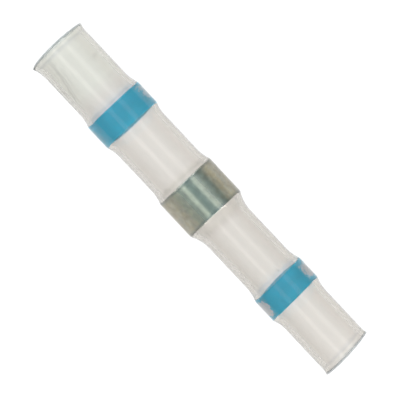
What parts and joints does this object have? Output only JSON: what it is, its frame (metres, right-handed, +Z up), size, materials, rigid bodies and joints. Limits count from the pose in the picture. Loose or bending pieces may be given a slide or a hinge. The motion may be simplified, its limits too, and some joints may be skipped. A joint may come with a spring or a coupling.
{
  "type": "solder seal wire connector",
  "caption": "clear heat-shrink sleeve holding a solder ring at its middle and a blue hot-melt sealing ring towards each end; joins two wires",
  "frame": {"origin": "under the middle of the sleeve's length, on the floor that the connector lies on", "axes": "+X runs along the sleeve from its wide rim to its narrow rim, +Z is up"},
  "size_m": [0.042, 0.0067, 0.0066],
  "materials": {
    "clear_sleeve": "clear, slightly milky",
    "solder": "dull grey solder alloy",
    "hot_melt": "smooth blue hot-melt plastic"
  },
  "bodies": {
    "root": {"sleeve": "clear_sleeve", "solder_ring": "solder", "large_sealing_ring": "hot_melt", "small_sealing_ring": "hot_melt"}
  },
  "joints": []
}
